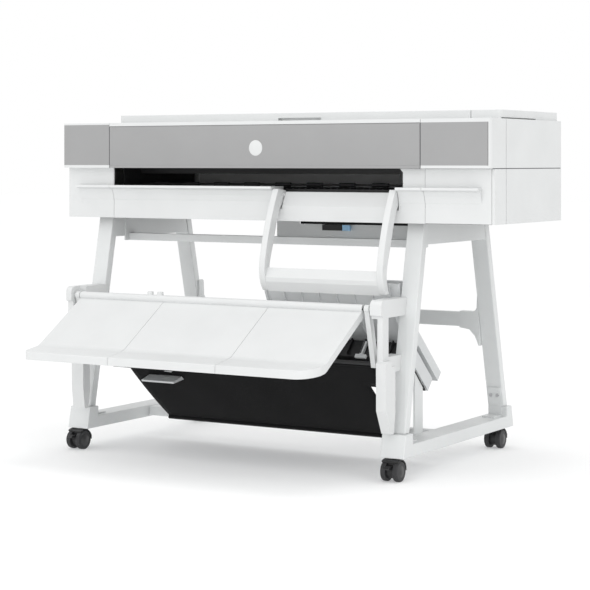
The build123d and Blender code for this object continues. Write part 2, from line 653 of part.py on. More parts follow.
def lower_front_cover():
    """The lower front: finger lip, scoop, and a deep recess between the deflector arms."""
    x0 = BAY_LEFT
    x1 = BAY_RIGHT + 2
    depth = 69
    wall = STEP_BACK + 6
    under = BODY_BOTTOM - 1
    outer = lip_outline() + [(STEP_BACK, BODY_BOTTOM), (depth, BODY_BOTTOM), (depth, LIP_TOP)]
    cover = along_x(outer, x0, x1)
    left, right = ARM_X[0] - 2, ARM_X[1] + ARM_T + 2
    inner_left, inner_right = ARM_X[0] + ARM_T + 2, ARM_X[1] - 2
    slope = [(-10, 724), (STEP_BACK, 724), (44, RECESS_TOP), (depth + 1, RECESS_TOP), (depth + 1, 800), (-10, 800)]
    cover -= along_x(slope, left, right)
    pocket = [(-10, 715), (STEP_BACK, 715), (58, 735), (58, 800), (-10, 800)]
    cover -= along_x(pocket, left, inner_left)
    cover -= along_x(pocket, inner_right, right)
    for start, end in ((x0 - 1, left - 3), (right + 3, x1 + 1)):
        cover -= block(start, end, wall, depth + 1, under, LIP_TOP - 4)
    behind = [(wall, under), (wall, 722), (49, 759), (depth + 1, 759), (depth + 1, under)]
    cover -= along_x(behind, inner_left + 3, inner_right - 3)
    for start, end in ((left, inner_left), (inner_right, right)):
        cover -= block(start, end, wall, depth + 1, under, 712)
    cover += rod_x(ARM_PIVOT[0], ARM_PIVOT[1], PIVOT_R, left - 1, inner_left + 1)
    cover += rod_x(ARM_PIVOT[0], ARM_PIVOT[1], PIVOT_R, inner_right - 1, right + 1)
    cover -= block(x0 - 1, x1 + 1, wall, depth + 1, under, BODY_BOTTOM + 6)
    for start, end in ((x0 - 1, left - 3), (right + 3, x1 + 1)):
        cover -= block(start, end, STEP_BACK - 1, STEP_BACK + BAND_DEPTH, *BAND_Z)
    corner = WAIST - 0.6
    outline = [(430, LIP_TOP - 1), (430, corner - 10), (421, corner), (x1, corner), (x1, LIP_TOP - 1)]
    filler = extrude(Plane.XZ.offset(-STEP_BACK - 4) * make_face(Polyline(*outline, close=True)), 4)
    return cover + filler


def top_cover():
    """The frame around the roll bay's mouth, with the front strip and the rear wall."""
    x0, x1 = BAY_LEFT, BAY_RIGHT
    plate = block(x0, x1, 0, BODY_D, BODY_TOP - WALL, BODY_TOP)
    plate -= block(x0 + 12, x1 - 12, 196, 452, BODY_TOP - 10, BODY_TOP + 1)
    front = block(x0, x1, 0, 4, BODY_TOP - 10, BODY_TOP)
    wall = block(x0, x1, BODY_D - WALL, BODY_D, BODY_BOTTOM, BODY_TOP)
    return plate + front + wall


def lid():
    """The hinged roll lid, hollow underneath, with a finger slot in its front edge."""
    z0 = BODY_TOP + LID_GAP
    plan = plan_corners(LID_LEFT, LID_RIGHT, LID_FRONT, LID_REAR, (6, 2, 2, 6))
    shell = block(LID_LEFT, LID_RIGHT, LID_FRONT, LID_REAR, z0, LID_TOP) & plan
    rim = shell.faces().sort_by(Axis.Z)[-1].edges()
    shell = fillet(rim, 1.5)
    shell -= block(LID_LEFT + 4, LID_RIGHT - 4, LID_FRONT + 16, LID_REAR - 4, z0 - 1, LID_TOP - 4)
    return shell - block(0, 140, LID_FRONT - 1, LID_FRONT + 12, z0 - 1, z0 + 9)


def control_pod():
    """The housing beside the lid that holds the touch panel and the power button."""
    z0 = BODY_TOP
    plan = plan_corners(LID_RIGHT + 1.5, POD_RIGHT, LID_FRONT, LID_REAR, (2, 10, 22, 2))
    body = block(LID_RIGHT + 1.5, POD_RIGHT, LID_FRONT, LID_REAR, z0, LID_TOP) & plan
    rim = body.faces().sort_by(Axis.Z)[-1].edges()
    body = fillet(rim, 1.5)
    body -= block(POD_RIGHT - 14, POD_RIGHT + 1, LID_FRONT + 4, 312, z0 - 1, z0 + 3.5)
    body -= block(PANEL_X[0] - 0.5, PANEL_X[1] + 0.5, PANEL_Y[0] - 0.5, PANEL_Y[1] + 0.5, LID_TOP - 13, LID_TOP + 1)
    body -= block(PANEL_X[0] + 20, PANEL_X[1] - 20, PANEL_Y[0] - 12, PANEL_Y[0] + 1, LID_TOP - 10, LID_TOP + 1)
    return body - rod_z(BUTTON[0], BUTTON[1], BUTTON_R + 0.1, LID_TOP - 12, LID_TOP + 1)


def touch_panel():
    """The tilting touch panel, hinged along its rear top edge."""
    x0, x1 = PANEL_X
    y0, y1 = PANEL_Y
    return block(x0, x1, y0, y1, LID_TOP - 11, LID_TOP)


def power_button():
    """The round power button in the pod's top."""
    return rod_z(BUTTON[0], BUTTON[1], BUTTON_R, LID_TOP - 7, LID_TOP + 0.8)


# ------------------------------------------------------------------ inside the body
def platen():
    """The flat bed under the carriage, ribbed along the paper's way."""
    x0, x1 = BAY_LEFT + 26, 392
    bed = block(x0, x1, 72, 150, 752, 770)
    step = (x1 - x0) / 44
    for number in range(44):
        x = x0 + (number + 0.5) * step
        bed += block(x, x + 4, 72, 150, 769.5, 773)
    return bed


def feed_roller():
    """The long driving roller and its shaft."""
    drum = rod_x(FEED_Y, FEED_Z, FEED_R, BAY_LEFT + 20, 400)
    shaft = rod_x(FEED_Y, FEED_Z, 6, BAY_LEFT - 6, BAY_RIGHT + 6)
    return drum + shaft


def pinch_rollers():
    """The row of small rollers that press the paper on the feed roller, on one shaft."""
    shaft = rod_x(FEED_Y, PINCH_Z, 3, BAY_LEFT - 4, BAY_RIGHT + 4)
    for number in range(8):
        x = BAY_LEFT + 50 + number * 106
        shaft += rod_x(FEED_Y, PINCH_Z, PINCH_R, x, x + 50)
    return shaft


def carriage_rail():
    """The beam that the carriage slides on, between the end plates."""
    outline = [(156, 812), (156, 860), (176, 860), (176, 852), (166, 848), (166, 824), (176, 820), (176, 812)]
    return along_x(outline, BAY_LEFT + PLATE_T, BAY_RIGHT - PLATE_T)


def carriage():
    """The print carriage with four heads below it, parked at the right."""
    x0, x1 = 402.0, 486.0
    shell = block(x0, x1, 62, 155.5, 792, 872) - block(x0 + 4, x1 - 4, 66, 140, 800, 873)
    for number in range(4):
        x = x0 + 8 + number * 18
        shell += block(x, x + 14, 80, 130, 780, 793)
    return shell


def carriage_belt():
    """The toothed belt's loop above the rail."""
    x0, x1 = BAY_LEFT + 20, BAY_RIGHT - 20
    outer = block(x0, x1, 160, 168, 866, 884)
    return outer - block(x0 + 1.5, x1 - 1.5, 159, 169, 867.5, 882.5)


def roll_spindle():
    """The spindle that carries the paper roll, with a hub at each end."""
    bar = rod_x(SPINDLE_Y, SPINDLE_Z, SPINDLE_R, BAY_LEFT - 8, BAY_RIGHT + 8)
    bore = rod_x(SPINDLE_Y, SPINDLE_Z, SPINDLE_R - TUBE_WALL, BAY_LEFT - 9, BAY_RIGHT + 9)
    for x in (BAY_LEFT + 24, 438):
        bar += rod_x(SPINDLE_Y, SPINDLE_Z, 28, x, x + 28)
        bar += rod_x(SPINDLE_Y, SPINDLE_Z, 46, x + (0 if x < 0 else 24), x + (4 if x < 0 else 28))
    return bar - bore


def ink_cartridges():
    """Four cartridges side by side behind the ink door."""
    return [block(x, x + 36, 46, 250, 700, 806) for x in (516, 558, 600, 642)]


def service_station():
    """The capping and wiping station under the parked carriage."""
    tub = block(402, 484, 72, 148, 700, 774) - block(406, 480, 76, 144, 740, 775)
    for number in range(4):
        x = 410 + number * 18
        tub += block(x, x + 14, 80, 130, 739, 776)
    return tub


def electronics_box():
    """The sheet metal box under the body that holds the power supply and main board."""
    x0, x1 = -77, frame_x(1) + 1.9
    front, rear = 205, 262
    sheet = 1.5
    case = block(x0, x1, front, rear, 619, BODY_BOTTOM)
    case -= block(x0 + sheet, x1 - sheet, front + sheet, rear + 1, 619 + sheet, BODY_BOTTOM - sheet)
    return case - block(0, x1 - sheet, front - 1, front + 2, 668, BODY_BOTTOM - sheet)


def stacker_connector():
    """The black plug bar of the stacker on the electronics box's front."""
    return block(83, 148, 191, 205, 651, 667.5)


def latch_tab():
    """The blue release tab beside the stacker's plug bar, which slides down."""
    leaf = block(150, 174, 189, 195, 651, 667)
    return leaf + block(155, 169, 195, 204.7, 655, 665)


def inlet_hole(clear):
    """The cut in the left cover's rear wall for the power inlet."""
    return block(INLET_X - 24 - clear, INLET_X + 24 + clear, BODY_D - 30, BODY_D + 5,
                 INLET_Z - 14 - clear, INLET_Z + 14 + clear)


def power_inlet():
    """The mains inlet socket with its three pins."""
    shell = block(INLET_X - 24, INLET_X + 24, BODY_D - 26, BODY_D, INLET_Z - 14, INLET_Z + 14)
    shell -= block(INLET_X - 20, INLET_X + 20, BODY_D - 20, BODY_D + 1, INLET_Z - 10, INLET_Z + 10)
    for x, z in ((-10, -2), (0, 4), (10, -2)):
        shell += block(INLET_X + x - 1, INLET_X + x + 1, BODY_D - 21, BODY_D - 4, INLET_Z + z - 2, INLET_Z + z + 2)
    return shell


# ------------------------------------------------------------------ writing the nodes
def write_stand():
    for side, word in ((-1, "left"), (1, "right")):
        save(f"{word}_top_beam", top_beam(side))
        save(f"{word}_front_leg", leg(side, front_face, LEG_T))
        save(f"{word}_rear_leg", leg(side, rear_face, -LEG_T))
        save(f"{word}_foot", foot(side))
    save("upper_crossbeam", *upper_crossbeam())
    save("rear_crossbeam", rear_crossbeam())
    save("rear_gussets", *rear_gussets())
    save("lower_crossbar", lower_crossbar())
    save("foot_plates", *foot_plates())
    save("stand_screws", *stand_screws())
    save("front_posts", *front_posts())


def write_casters():
    for end in ("front", "rear"):
        for side in ("left", "right"):
            place = caster_frame(end, side)
            save(f"{end}_{side}_caster", place * caster_body())
            save(f"{end}_{side}_wheels", place * caster_wheels())
            if end == "front":
                save(f"{end}_{side}_brake", place * brake_lever())


def write_output():
    save("tray_panels", *tray_panels())
    save("tray_hinge_rail", tray_hinge_rail())
    save("catch_sheet", catch_sheet())
    save("catch_frame", *catch_frame())
    save("paper_guide", paper_guide())
    save("stacker_ramp", stacker_ramp())
    save("ramp_supports", *ramp_supports())
    save("deflector_arms", *[deflector_arm(x) for x in ARM_X])
    save("deflector_plate", deflector_plate())


def write_body():
    save("chassis", chassis())
    save("left_cover", left_cover())
    save("right_cover", right_cover())
    save("ink_door", ink_door())
    save("left_front_panel", front_panel(-BODY_W / 2, BAY_LEFT - SEAM, BODY_TOP - 5))
    save("right_front_panel", front_panel(BAY_RIGHT + SEAM, DOOR_X[1], BODY_TOP - 10))
    save("centre_door", centre_door())
    save("lower_front_cover", lower_front_cover())
    save("top_cover", top_cover())
    save("lid", lid())
    save("control_pod", control_pod())
    save("touch_panel", touch_panel())
    save("power_button", power_button())


def write_inside():
    save("platen", platen())
    save("feed_roller", feed_roller())
    save("pinch_rollers", pinch_rollers())
    save("carriage_rail", carriage_rail())
    save("carriage", carriage())
    save("carriage_belt", carriage_belt())
    save("roll_spindle", roll_spindle())
    save("ink_cartridges", *ink_cartridges())
    save("service_station", service_station())
    save("electronics_box", *electronics_box())
    save("stacker_connector", stacker_connector())
    save("latch_tab", latch_tab())
    save("power_inlet", power_inlet())


os.makedirs("parts", exist_ok=True)
write_stand()
write_casters()
write_output()
write_body()
write_inside()
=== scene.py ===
"""Looks of the large format plotter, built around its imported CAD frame.

Metres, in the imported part's frame: +Z up, +X to the right of somebody facing
the front, +Y from the front to the back, origin on the floor under the middle.
"""
import json
import math

import bmesh
import bpy
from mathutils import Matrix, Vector


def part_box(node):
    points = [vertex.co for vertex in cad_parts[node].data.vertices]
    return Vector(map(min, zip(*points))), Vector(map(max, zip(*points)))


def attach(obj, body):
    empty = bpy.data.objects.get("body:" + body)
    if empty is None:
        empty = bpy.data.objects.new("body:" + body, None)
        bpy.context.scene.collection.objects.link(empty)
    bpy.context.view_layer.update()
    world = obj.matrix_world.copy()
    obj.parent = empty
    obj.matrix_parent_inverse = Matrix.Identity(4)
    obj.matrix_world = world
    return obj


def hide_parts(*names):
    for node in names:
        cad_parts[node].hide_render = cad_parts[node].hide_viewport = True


MM = 0.001
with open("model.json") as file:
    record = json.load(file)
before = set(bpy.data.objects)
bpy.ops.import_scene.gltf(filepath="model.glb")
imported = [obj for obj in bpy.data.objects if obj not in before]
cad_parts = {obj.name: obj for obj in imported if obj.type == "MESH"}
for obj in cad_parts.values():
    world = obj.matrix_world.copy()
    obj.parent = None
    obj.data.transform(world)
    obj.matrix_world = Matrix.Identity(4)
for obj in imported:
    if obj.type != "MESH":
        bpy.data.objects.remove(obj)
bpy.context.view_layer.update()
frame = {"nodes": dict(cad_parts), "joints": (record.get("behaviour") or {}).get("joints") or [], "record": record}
nodes = frame["nodes"]
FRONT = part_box("centre_door")[0].y       # the printer's front face
WHITE = (0.69, 0.70, 0.70)
DARK_METAL = (0.016, 0.016, 0.017)
SKIN_PROUD = 0.9 * MM                    # how far the centre door's grey face stands off the front
PATCHES = 0.12                           # size of the slight patches in a surface's tone
WEAR = 0.02                              # size of the patches in its gloss
WEAR_RANGE = 0.06                        # how far the roughness goes up and down there


# ------------------------------------------------------------------ materials
def new_material(name):
    """An empty node material with its shader, and the object's own coordinates."""
    material = bpy.data.materials.new(name)
    material.use_nodes = True
    tree = material.node_tree
    shader = tree.nodes["Principled BSDF"]
    coords = tree.nodes.new("ShaderNodeTexCoord").outputs["Object"]
    return material, tree, shader, coords


def noise_node(tree, coords, size, detail=2.0, stretch=(1, 1, 1)):
    """Noise whose features are about size metres across."""
    mapping = tree.nodes.new("ShaderNodeMapping")
    mapping.inputs["Scale"].default_value = [s / size for s in stretch]
    tree.links.new(coords, mapping.inputs["Vector"])
    noise = tree.nodes.new("ShaderNodeTexNoise")
    noise.inputs["Scale"].default_value = 1.0
    noise.inputs["Detail"].default_value = detail
    tree.links.new(mapping.outputs["Vector"], noise.inputs["Vector"])
    return noise.outputs["Fac"]


def ramp_between(tree, factor, low, high):
    """A colour that goes from low to high as the factor rises through its middle."""
    ramp = tree.nodes.new("ShaderNodeValToRGB")
    ramp.color_ramp.elements[0].position = 0.3
    ramp.color_ramp.elements[1].position = 0.7
    ramp.color_ramp.elements[0].color = (*low, 1)
    ramp.color_ramp.elements[1].color = (*high, 1)
    tree.links.new(factor, ramp.inputs["Fac"])
    return ramp.outputs["Color"]


def shade(colour, factor):
    """A colour made lighter or darker."""
    return [min(1.0, c * factor) for c in colour]


def spread(tree, factor, low, high):
    """A number that goes from low to high with the factor."""
    scale = tree.nodes.new("ShaderNodeMapRange")
    scale.inputs["To Min"].default_value = low
    scale.inputs["To Max"].default_value = high
    tree.links.new(factor, scale.inputs["Value"])
    return scale.outputs["Result"]


def bump(tree, shader, height, depth):
    """Relief of that depth in metres from a height between 0 and 1."""
    node = tree.nodes.new("ShaderNodeBump")
    node.inputs["Strength"].default_value = 1.0
    node.inputs["Distance"].default_value = depth
    tree.links.new(height, node.inputs["Height"])
    tree.links.new(node.outputs["Normal"], shader.inputs["Normal"])


def add_wear(tree, shader, coords, rough):
    """Slight patches in the gloss."""
    wear = noise_node(tree, coords, WEAR, detail=4.0)
    tree.links.new(spread(tree, wear, rough - WEAR_RANGE, rough + WEAR_RANGE), shader.inputs["Roughness"])


def moulded(name, colour, rough=0.5, grain=0.9 * MM, depth=0.03 * MM, mottle=0.02, coat=0.0):
    """Moulded plastic or a painted surface: fine texture, slight patches in tone and gloss."""
    material, tree, shader, coords = new_material(name)
    patches = noise_node(tree, coords, PATCHES, detail=3.0)
    tone = ramp_between(tree, patches, shade(colour, 1 - mottle), shade(colour, 1 + mottle))
    tree.links.new(tone, shader.inputs["Base Color"])
    add_wear(tree, shader, coords, rough)
    bump(tree, shader, noise_node(tree, coords, grain), depth)
    shader.inputs["Coat Weight"].default_value = coat
    return material


def two_tone(name, middle_colour, end_colour, left, right):
    """Painted bars: one colour between left and right along X, another beyond them."""
    material, tree, shader, coords = new_material(name)
    split = tree.nodes.new("ShaderNodeSeparateXYZ")
    tree.links.new(coords, split.inputs["Vector"])
    value = split.outputs["X"]
    middle, half = (left + right) / 2, (right - left) / 2
    for operation, amount in (("SUBTRACT", middle), ("ABSOLUTE", 0.0), ("GREATER_THAN", half)):
        step = tree.nodes.new("ShaderNodeMath")
        step.operation = operation
        tree.links.new(value, step.inputs[0])
        step.inputs[1].default_value = amount
        value = step.outputs["Value"]
    tree.links.new(ramp_between(tree, value, middle_colour, end_colour), shader.inputs["Base Color"])
    add_wear(tree, shader, coords, rough=0.48)
    bump(tree, shader, noise_node(tree, coords, 1.2 * MM), 0.03 * MM)
    return material


def brushed(name, colour, rough=0.32):
    """Bright steel with fine lines along X."""
    material, tree, shader, coords = new_material(name)
    lines = noise_node(tree, coords, 0.4 * MM, detail=3.0, stretch=(0.02, 1, 1))
    tone = ramp_between(tree, lines, shade(colour, 0.9), shade(colour, 1.08))
    tree.links.new(tone, shader.inputs["Base Color"])
    tree.links.new(spread(tree, lines, rough - 0.08, rough + 0.1), shader.inputs["Roughness"])
    bump(tree, shader, lines, 0.01 * MM)
    shader.inputs["Metallic"].default_value = 1.0
    return material


def woven(name, colour, pitch=1.1 * MM):
    """Plain weave: warp and weft bands over the cloth, with a soft sheen."""
    material, tree, shader, coords = new_material(name)
    bands = []
    for direction in ("X", "Y"):
        wave = tree.nodes.new("ShaderNodeTexWave")
        wave.bands_direction = direction
        wave.inputs["Scale"].default_value = 1 / (pitch * 20)
        wave.inputs["Distortion"].default_value = 0.4
        tree.links.new(coords, wave.inputs["Vector"])
        bands.append(wave.outputs["Fac"])
    weave = tree.nodes.new("ShaderNodeMath")
    weave.operation = "MULTIPLY"
    tree.links.new(bands[0], weave.inputs[0])
    tree.links.new(bands[1], weave.inputs[1])
    dust = noise_node(tree, coords, 0.09, detail=4.0)
    tone = ramp_between(tree, dust, shade(colour, 0.85), shade(colour, 1.2))
    tree.links.new(tone, shader.inputs["Base Color"])
    tree.links.new(spread(tree, dust, 0.78, 0.92), shader.inputs["Roughness"])
    bump(tree, shader, weave.outputs["Value"], 0.15 * MM)
    shader.inputs["Sheen Weight"].default_value = 0.02
    shader.inputs["Sheen Roughness"].default_value = 0.5
    shader.inputs["Specular IOR Level"].default_value = 0.12
    return material


LOOKS = {
    "white_frame": moulded("white_frame", (0.70, 0.715, 0.715), rough=0.42, grain=1.6 * MM,
                           depth=0.05 * MM),
    "white_plastic": moulded("white_plastic", WHITE, rough=0.48),
    "grey_plastic": moulded("grey_plastic", (0.330, 0.330, 0.332), rough=0.45),
    "ramp_grey": moulded("ramp_grey", (0.64, 0.655, 0.66), rough=0.5),
    "black_plastic": moulded("black_plastic", (0.012, 0.012, 0.013), rough=0.5, mottle=0.1),
    "wheel_black": moulded("wheel_black", (0.022, 0.022, 0.024), rough=0.55, grain=0.6 * MM,
                           mottle=0.12),
    "hub_grey": moulded("hub_grey", (0.035, 0.035, 0.036), rough=0.38, mottle=0.1),
    "black_cloth": woven("black_cloth", (0.008, 0.008, 0.0085)),
    "steel": brushed("steel", (0.60, 0.60, 0.61)),
    "black_metal": moulded("black_metal", DARK_METAL, rough=0.5, mottle=0.1),
    "screen_black": moulded("screen_black", (0.012, 0.012, 0.014), rough=0.14, depth=0.002 * MM,
                            coat=0.6),
    "ink_body": moulded("ink_body", (0.07, 0.07, 0.08), rough=0.4, mottle=0.06),
    "blue_tab": moulded("blue_tab", (0.33, 0.60, 0.86), rough=0.3, coat=0.3),
}

# Softened edges of the CAD parts: each radius in millimetres, with the parts that have it.
SOFT_EDGES = {
    3.0: ("left_front_leg", "right_front_leg", "left_rear_leg", "right_rear_leg", "rear_crossbeam"),
    2.5: ("left_foot", "right_foot", "front_left_wheels", "front_right_wheels", "rear_left_wheels",
          "rear_right_wheels"),
    2.0: ("left_top_beam", "right_top_beam", "lower_crossbar", "front_posts", "deflector_arms"),
    1.5: ("tray_panels",),
    1.2: ("stacker_ramp",),
}


def dress(obj, look):
    """Give an object one of the looks."""
    obj.data.materials.clear()
    obj.data.materials.append(LOOKS[look])


def soften(obj, radius):
    """Round the sharp edges of a CAD part."""
    weld = obj.modifiers.new("weld", "WELD")
    weld.merge_threshold = 0.005 * MM
    bevel = obj.modifiers.new("soft edges", "BEVEL")
    bevel.width = radius * MM
    bevel.segments = 3
    bevel.limit_method = "ANGLE"
    bevel.angle_limit = math.radians(40)
    bevel.harden_normals = True


def catch_frame_look():
    """White stays at both ends of the catch frame, dark rods between them."""
    low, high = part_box("catch_frame")
    left_pin, right_pin = 29 * MM, 51 * MM       # from the frame's ends to inside its stays
    return two_tone("sheet_frame", DARK_METAL, WHITE, low.x + left_pin, high.x - right_pin)


# ------------------------------------------------------------------ mesh helpers
def add_piece(name, work, look, body, smooth=None):
    """Make a piece that rides on a CAD body. Its slot has the look's name."""
    mesh = to_mesh(name, work)
    obj = bpy.data.objects.new(name, mesh)
    bpy.context.scene.collection.objects.link(obj)
    dress(obj, look)
    if smooth is not None:
        mesh.shade_smooth()
        mesh.set_sharp_from_angle(angle=math.radians(smooth))
    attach(obj, body)
    return obj


def to_mesh(name, work):
    """Turn a bmesh into a mesh and free it."""
    mesh = bpy.data.meshes.new(name)
    bmesh.ops.recalc_face_normals(work, faces=work.faces)
    work.to_mesh(mesh)
    work.free()
    return mesh


def add_bar(work, low, high, bevel=0.0):
    """Add a bar from its lowest to its highest corner, with softened edges if it has a bevel."""
    size = [b - a for a, b in zip(low, high)]
    made = bmesh.ops.create_cube(work, size=1.0)["verts"]
    bmesh.ops.scale(work, vec=size, verts=made)
    bmesh.ops.translate(work, vec=[(a + b) / 2 for a, b in zip(low, high)], verts=made)
    if bevel:
        edges = list({e for v in made for e in v.link_edges})
        bmesh.ops.bevel(work, geom=edges, offset=bevel, segments=2, affect="EDGES", profile=0.5)


def add_prism(work, outline, x0, x1):
    """Add a closed outline of (y, z) points, drawn out from x0 to x1."""
    ends = [[work.verts.new((x, y, z)) for y, z in outline] for x in (x0, x1)]
    for k in range(len(outline)):
        n = (k + 1) % len(outline)
        work.faces.new((ends[0][k], ends[0][n], ends[1][n], ends[1][k]))
    work.faces.new(ends[0])
    work.faces.new(ends[1])


def add_turned(work, profile, centre, steps, axis="X"):
    """Add a turned body: (radius, along) points spun about an X or Y axis through the centre."""
    rings = []
    for step in range(steps):
        angle = 2 * math.pi * step / steps
        ring = []
        for radius, along in profile:
            a, b = radius * math.cos(angle), radius * math.sin(angle)
            spot = {"X": (along, a, b), "Y": (a, along, b)}[axis]
            ring.append(work.verts.new(Vector(centre) + Vector(spot)))
        rings.append(ring)
    last = len(profile) - 1
    for here, there in zip(rings, rings[1:] + rings[:1]):
        for low in range(last):
            work.faces.new((here[low], here[low + 1], there[low + 1], there[low]))
    for end in (0, last):
        if profile[end][0] > 0:
            work.faces.new([ring[end] for ring in rings])
    bmesh.ops.remove_doubles(work, verts=work.verts, dist=1e-7)


# ------------------------------------------------------------------ front
def door_skin():
    """The grey face of the centre door, above its white bottom edge."""
    low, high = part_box("centre_door")
    side_gap, bottom_edge, top_gap = 0.8 * MM, 8 * MM, 1.5 * MM
    work = bmesh.new()
    add_bar(work, (low.x + side_gap, FRONT - SKIN_PROUD, low.z + bottom_edge),
            (high.x - side_gap, FRONT + 2 * MM, high.z - top_gap), bevel=0.8 * MM)
    add_piece("door_skin", work, "grey_plastic", "centre_door", smooth=40)


def badge():
    """A plain round badge near the middle of the centre door."""
    low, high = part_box("centre_door")
    middle = (low + high) / 2
    radius, thickness = 22 * MM, 1 * MM
    rim = [(0, -thickness), (radius - 1.2 * MM, -thickness), (radius - 0.4 * MM, -0.7 * MM),
           (radius, 0), (radius, thickness)]
    centre = (middle.x - 2.5 * MM, FRONT - SKIN_PROUD, middle.z - 4 * MM)
    work = bmesh.new()
    add_turned(work, rim, centre, steps=64, axis="Y")
    add_piece("badge", work, "white_plastic", "centre_door", smooth=40)


def slot_guides():
    """The two moulded paper guides in the left end of the print slot."""
    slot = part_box("lower_front_cover")[1].z
    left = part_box("left_cover")[1].x + 3 * MM
    front, back = FRONT + 32 * MM, FRONT + 52 * MM
    pitch, width, nose_inset = 22 * MM, 17 * MM, 3 * MM
    work = bmesh.new()
    for k in range(2):
        x0 = left + k * pitch
        x1 = x0 + width
        add_bar(work, (x0, front, slot + 0.5 * MM), (x1, back, slot + 38 * MM), bevel=2 * MM)
        add_bar(work, (x0 + nose_inset, front - 5 * MM, slot + 8 * MM),
                (x1 - nose_inset, front + 2 * MM, slot + 30 * MM), bevel=2 * MM)
    add_piece("slot_guides", work, "ramp_grey", "stand", smooth=40)


def star_wheels():
    """The row of small star wheels on their bar, just inside the print slot."""
    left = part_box("left_cover")[1].x + 55 * MM
    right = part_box("right_cover")[0].x - 20 * MM
    y = FRONT + 48 * MM
    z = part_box("lower_front_cover")[1].z + 34 * MM
    count = 34
    cheek_gap, cheek = 3.6 * MM, 1.4 * MM        # from a wheel's middle to each cheek, and its thickness
    radius, rim, half_width = 7 * MM, 6.5 * MM, 1.2 * MM
    disc = [(0, -half_width), (rim, -half_width), (radius, 0), (rim, half_width), (0, half_width)]
    bar = bmesh.new()
    wheels = bmesh.new()
    add_bar(bar, (left, y - 4 * MM, z + 2 * MM), (right, y + 14 * MM, z + 10 * MM), bevel=1 * MM)
    for k in range(count):
        x = left + (right - left) * (k + 0.5) / count
        for side in (x - cheek_gap - cheek, x + cheek_gap):
            add_bar(bar, (side, y - 3 * MM, z - 8 * MM), (side + cheek, y + 8 * MM, z + 3 * MM),
                    bevel=0.4 * MM)
        add_turned(wheels, disc, (x, y + 1 * MM, z - radius), steps=16)
    add_piece("star_wheel_bar", bar, "black_plastic", "stand", smooth=40)
    add_piece("star_wheels", wheels, "steel", "stand", smooth=40)


def panel_glass():
    """The glass of the touch panel in its narrow frame."""
    low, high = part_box("touch_panel")
    side_rim, end_rim = 5 * MM, 6 * MM
    work = bmesh.new()
    add_bar(work, (low.x + side_rim, low.y + end_rim, high.z - 0.6 * MM),
            (high.x - side_rim, high.y - end_rim, high.z + 0.5 * MM), bevel=0.3 * MM)
    add_piece("panel_glass", work, "screen_black", "touch_panel", smooth=40)


def box_shade_sheets():
    """Black sheets inside the electronics box, behind the gap over its front: painted shade standing for the box's
    shadowed inside, seen through that gap.
    """
    low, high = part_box("electronics_box")
    left, right = low.x + 78 * MM, high.x - 2 * MM
    front, back = low.y + 3 * MM, low.y + 25 * MM
    sheet = 1.5 * MM
    work = bmesh.new()
    add_bar(work, (left, back - 1 * MM, high.z - 30 * MM), (right, back + 2 * MM, high.z - 2 * MM))
    for level in (high.z - 16.5 * MM, high.z - 3.4 * MM):
        add_bar(work, (left, front, level), (right, back, level + sheet))
    add_bar(work, (left, front, high.z - 16 * MM), (left + sheet, back, high.z - 2 * MM))
    add_piece("box_shade_sheets", work, "black_metal", "stand")


def side_groove_shade():
    """Dark strips in the grooves of the right end cover, painted shade for the depth of the grooves: one level,
    one upright.
    """
    low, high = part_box("right_cover")
    inner, outer = high.x - 1.25 * MM, high.x - 0.8 * MM
    level, half_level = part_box("centre_door")[0].z, 1.15 * MM
    upright, half_upright = FRONT + 96 * MM, 0.95 * MM
    corner = 12.5 * MM                           # keeps the level strip off the rounded corners
    end_gap = 1 * MM
    work = bmesh.new()
    add_bar(work, (inner, low.y + corner, level - half_level), (outer, high.y - corner, level + half_level))
    add_bar(work, (inner, upright - half_upright, low.z + end_gap),
            (outer, upright + half_upright, high.z - end_gap))
    add_piece("side_groove_shade", work, "ink_body", "stand")


def front_gap_shade():
    """Dark strips behind the seams beside the centre door, and behind the seam of the ink door: painted shade in
    these gaps.
    """
    low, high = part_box("centre_door")
    ink_low, ink_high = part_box("ink_door")
    width, depth = 2.2 * MM, 1.2 * MM
    work = bmesh.new()
    for x in (low.x - 0.1 * MM - width, high.x + 0.1 * MM):
        add_bar(work, (x, FRONT + depth, low.z + 8.2 * MM), (x + width, FRONT + depth + 0.4 * MM, high.z))
    add_bar(work, (ink_low.x - 0.9 * MM, ink_low.y + 26.5 * MM, ink_low.z + 1 * MM),
            (ink_low.x - 0.1 * MM, ink_low.y + 27 * MM, ink_high.z - 1 * MM))
    add_piece("front_gap_shade", work, "ink_body", "stand")


# ------------------------------------------------------------------ stacker ramp
def ramp_shade_plate():
    """A black ribbed end plate and under skin on the ramp's lower channel, painted shade for the shadowed
    underside of the ramp, with two light brackets.
    """
    low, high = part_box("stacker_ramp")
    hook_y, hook_z = low.y + 68.7 * MM, low.z + 98.3 * MM      # where the brackets' arms begin
    x0, x1 = low.x + 3 * MM, high.x - 3 * MM

    def at(points):
        """Places given in millimetres behind and above the start of the brackets' arms."""
        return [(hook_y + a * MM, hook_z + b * MM) for a, b in points]

    plate = bmesh.new()
    add_prism(plate, at([(4.5, -2), (38, 36), (35.5, 38.5), (2, 0.5)]), x0, x1)
    add_prism(plate, at([(2, 0), (4.5, -2.5), (100, -95), (98, -97), (0.5, -2.5)]), x0, x1)
    ribs, rib = 10, 3 * MM
    for k in range(ribs):
        x = x0 + (x1 - x0) * (k + 0.5) / ribs
        add_prism(plate, at([(4, 0), (36, 37), (27, 45), (-4, 9)]), x, x + rib)
    add_piece("ramp_shade_plate", plate, "black_plastic", "stand", smooth=30)
    brackets = bmesh.new()
    arm, foot_overhang = 9 * MM, 12 * MM
    for x in (x1 - 150 * MM, x1 - 92 * MM):
        add_prism(brackets, at([(0, 0), (28, 33), (22, 39), (-6, 6)]), x, x + arm)
        add_prism(brackets, at([(-6, 6), (0, 0), (-6, -7), (-14, -3)]),
                  x - foot_overhang, x + arm + foot_overhang)
    add_piece("ramp_brackets", brackets, "ramp_grey", "stand", smooth=30)


